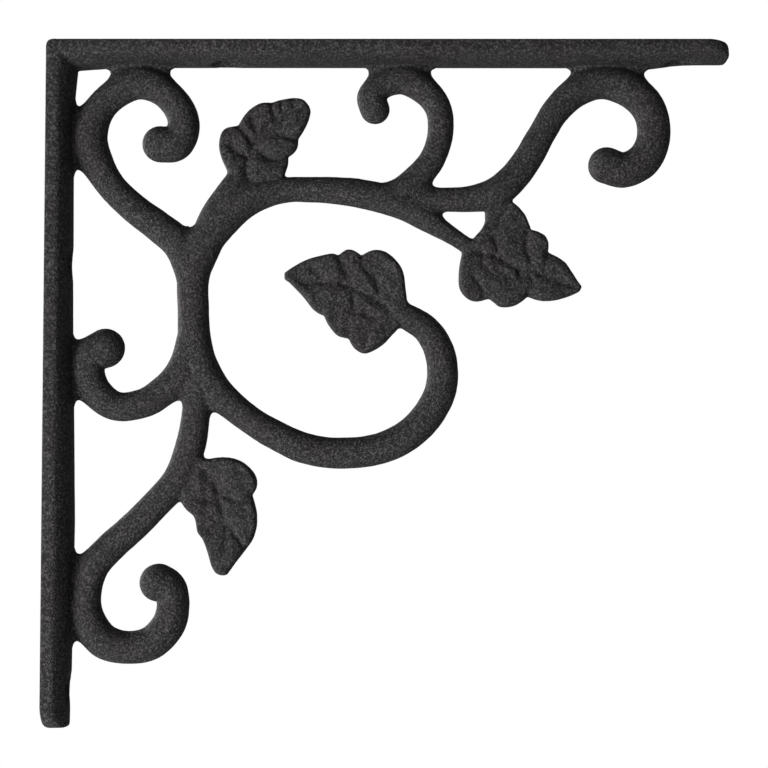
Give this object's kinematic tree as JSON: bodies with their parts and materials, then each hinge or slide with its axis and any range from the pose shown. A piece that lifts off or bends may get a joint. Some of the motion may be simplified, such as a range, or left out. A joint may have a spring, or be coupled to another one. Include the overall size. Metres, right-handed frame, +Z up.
{
  "type": "shelf bracket",
  "caption": "Ornate cast iron shelf bracket: two straps at a right angle with a vine of scrolls and leaves cast between them, to be screwed to a wall under a shelf.",
  "frame": {"origin": "middle of the wall face, the flat face of the upright strap that lies against the wall", "axes": "+X out from the wall along the shelf, +Z up, Y along the wall across the bracket"},
  "size_m": [0.2, 0.018, 0.2],
  "materials": {
    "cast_iron": "matt charcoal black, sand cast"
  },
  "bodies": {
    "root": {"bracket": "cast_iron"}
  },
  "joints": []
}
